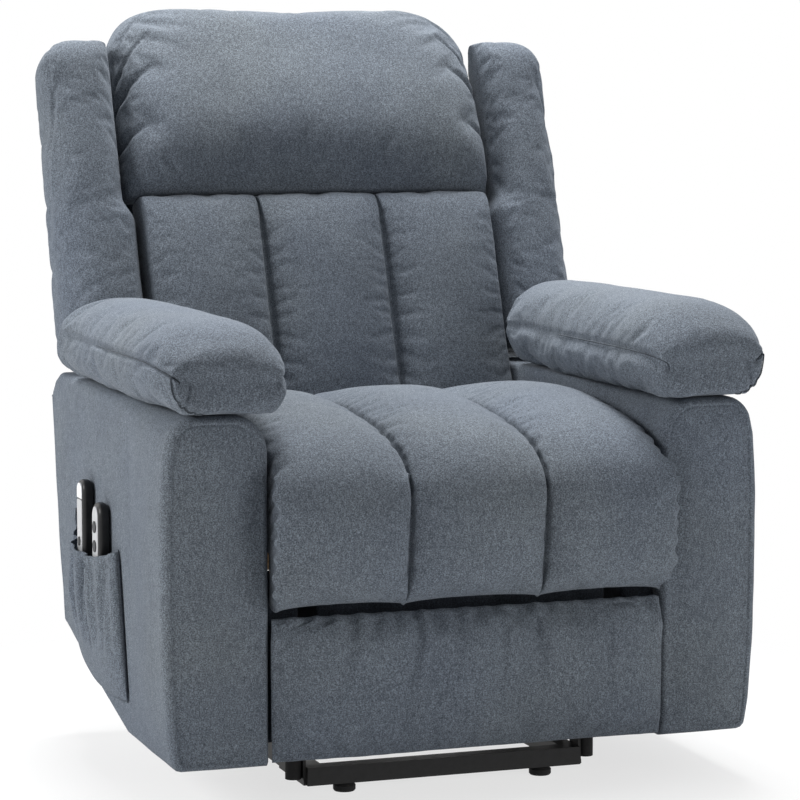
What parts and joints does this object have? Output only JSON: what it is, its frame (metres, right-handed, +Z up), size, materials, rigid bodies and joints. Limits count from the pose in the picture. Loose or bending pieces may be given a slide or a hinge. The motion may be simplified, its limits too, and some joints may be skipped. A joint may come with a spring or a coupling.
{
  "type": "lift recliner chair",
  "caption": "Padded powered chair on a steel lift base that raises and tilts the seat, reclines its winged back and swings out a footrest.",
  "frame": {"origin": "on the floor under the centre of the chair's overall box", "axes": "+Z up, -Y is where the sitter faces, +X is the sitter's left"},
  "size_m": [0.8786, 0.9381, 1.0713],
  "materials": {
    "fabric": "soft heathered microfibre",
    "wood": "raw plywood",
    "rubber": "matt",
    "button_plastic": "matt",
    "black_plastic": "matt",
    "handset_plastic": "satin",
    "cap_plastic": "satin",
    "zinc_steel": "zinc plated",
    "spring_steel": "plain",
    "black_steel": "black powder coat"
  },
  "bodies": {
    "base": {"base_frame": "black_steel", "levelling_feet": "rubber", "base_pins": "zinc_steel", "power_supply": "black_plastic", "power_inlet": "black_plastic", "lift_motor_pin": "zinc_steel", "rubber_bumpers": "rubber"},
    "lift_arm": {"lift_arms": "black_steel", "lift_arm_pins": "zinc_steel", "lift_rod_pin": "zinc_steel"},
    "upper_link": {"upper_links": "black_steel"},
    "lift_motor": {"lift_motor": "black_plastic"},
    "lift_rod": {"lift_rod": "zinc_steel"},
    "chassis": {"chassis_frame": "black_steel", "chassis_pins": "zinc_steel", "seat_frame": "wood", "seat_springs": "spring_steel", "seat_cushion": "fabric", "left_arm": "fabric", "right_arm": "fabric", "left_arm_pad": "fabric", "right_arm_pad": "fabric", "side_pocket": "fabric", "recline_motor_pin": "zinc_steel"},
    "recline_motor": {"recline_motor": "black_plastic"},
    "recline_rod": {"recline_rod": "zinc_steel"},
    "back": {"back_brackets": "black_steel", "back_bolts": "zinc_steel", "back_frame": "wood", "back_cushion": "fabric", "headrest": "fabric", "left_wing": "fabric", "right_wing": "fabric", "rear_cover": "fabric", "recline_rod_pin": "zinc_steel"},
    "drive_crank": {"footrest_drive_cranks": "black_steel", "footrest_crank_pins": "zinc_steel"},
    "front_crank": {"footrest_front_cranks": "black_steel", "footrest_front_crank_pins": "zinc_steel"},
    "footrest_link": {"footrest_links": "black_steel", "footrest_link_pins": "zinc_steel"},
    "tilt_link": {"footrest_tilt_links": "black_steel", "footrest_tilt_pins": "zinc_steel"},
    "footrest_panel": {"footrest_brackets": "black_steel", "footrest_board": "wood", "footrest_cushion": "fabric"},
    "lift_handset": {"lift_handset": "handset_plastic"},
    "massage_handset": {"massage_handset": "handset_plastic", "handset_cap": "cap_plastic"},
    "raise_button": {"raise_button": "button_plastic"},
    "lower_button": {"lower_button": "button_plastic"},
    "massage_button": {"massage_button": "button_plastic"},
    "heat_button": {"heat_button": "button_plastic"}
  },
  "joints": [
    {"name": "lift", "type": "hinge", "parent": "base", "child": "lift_arm", "pos_m": [0, -0.29, 0.075], "axis": [1, 0, 0], "range_deg": [0, 52]},
    {"name": "chassis_tilt", "type": "hinge", "parent": "lift_arm", "child": "chassis", "pos_m": [0, 0.06, 0.08], "axis": [1, 0, 0], "range_deg": [-25.05, 0]},
    {"name": "upper_link_swing", "type": "hinge", "parent": "base", "child": "upper_link", "pos_m": [0, -0.264, 0.123], "axis": [1, 0, 0], "range_deg": [0, 48.25]},
    {"name": "lift_motor_swing", "type": "hinge", "parent": "base", "child": "lift_motor", "pos_m": [0, 0.27, 0.095], "axis": [1, 0, 0], "range_deg": [0, 1.13]},
    {"name": "lift_rod_swing", "type": "hinge", "parent": "lift_arm", "child": "lift_rod", "pos_m": [0, -0.25196, 0.15657], "axis": [1, 0, 0], "range_deg": [-50.97, 0]},
    {"name": "recline", "type": "hinge", "parent": "chassis", "child": "back", "pos_m": [0, 0.165, 0.33], "axis": [-1, 0, 0], "range_deg": [0, 38]},
    {"name": "recline_motor_swing", "type": "hinge", "parent": "chassis", "child": "recline_motor", "pos_m": [0.06, -0.19, 0.222], "axis": [-1, 0, 0], "range_deg": [-3.82, 0]},
    {"name": "recline_rod_swing", "type": "hinge", "parent": "back", "child": "recline_rod", "pos_m": [0.06, 0.17, 0.22], "axis": [-1, 0, 0], "range_deg": [-41.82, 0]},
    {"name": "footrest", "type": "hinge", "parent": "chassis", "child": "drive_crank", "pos_m": [0, -0.253, 0.259], "axis": [-1, 0, 0], "range_deg": [0, 90]},
    {"name": "front_crank_swing", "type": "hinge", "parent": "chassis", "child": "front_crank", "pos_m": [0, -0.297, 0.279], "axis": [-1, 0, 0], "range_deg": [0, 90.05]},
    {"name": "footrest_link_swing", "type": "hinge", "parent": "drive_crank", "child": "footrest_link", "pos_m": [0, -0.213, 0.074], "axis": [-1, 0, 0], "range_deg": [-90.05, 0]},
    {"name": "tilt_link_swing", "type": "hinge", "parent": "drive_crank", "child": "tilt_link", "pos_m": [0, -0.221, 0.117], "axis": [-1, 0, 0], "range_deg": [-90.05, 0]},
    {"name": "footrest_panel_swing", "type": "hinge", "parent": "footrest_link", "child": "footrest_panel", "pos_m": [0, -0.355, 0.196], "axis": [-1, 0, 0], "range_deg": [0, 90.05]},
    {"name": "lift_handset_lift", "type": "slide", "parent": "chassis", "child": "lift_handset", "axis": [0, 0, 1], "range_m": [0, 0.15]},
    {"name": "massage_handset_lift", "type": "slide", "parent": "chassis", "child": "massage_handset", "axis": [0, 0, 1], "range_m": [0, 0.13]},
    {"name": "raise_button_press", "type": "slide", "parent": "lift_handset", "child": "raise_button", "axis": [1, 0, 0], "range_m": [0, 0.0015], "stiffness_N_per_m": 300, "springref_m": -0.001},
    {"name": "lower_button_press", "type": "slide", "parent": "lift_handset", "child": "lower_button", "axis": [1, 0, 0], "range_m": [0, 0.0015], "stiffness_N_per_m": 300, "springref_m": -0.001},
    {"name": "massage_button_press", "type": "slide", "parent": "massage_handset", "child": "massage_button", "axis": [1, 0, 0], "range_m": [0, 0.0015], "stiffness_N_per_m": 300, "springref_m": -0.001},
    {"name": "heat_button_press", "type": "slide", "parent": "massage_handset", "child": "heat_button", "axis": [1, 0, 0], "range_m": [0, 0.0015], "stiffness_N_per_m": 300, "springref_m": -0.001}
  ],
  "couplings": [
    {"joint": "chassis_tilt", "follows": "lift", "ratio": -0.48077},
    {"joint": "upper_link_swing", "follows": "lift", "ratio": 0.92692},
    {"joint": "lift_motor_swing", "follows": "lift", "ratio": 0.0207},
    {"joint": "lift_rod_swing", "follows": "lift", "ratio": -0.9793},
    {"joint": "recline_motor_swing", "follows": "recline", "ratio": -0.0991},
    {"joint": "recline_rod_swing", "follows": "recline", "ratio": -1.0991},
    {"joint": "front_crank_swing", "follows": "footrest", "ratio": 1},
    {"joint": "footrest_link_swing", "follows": "footrest", "ratio": -1},
    {"joint": "tilt_link_swing", "follows": "footrest", "ratio": -1},
    {"joint": "footrest_panel_swing", "follows": "footrest", "ratio": 1}
  ]
}
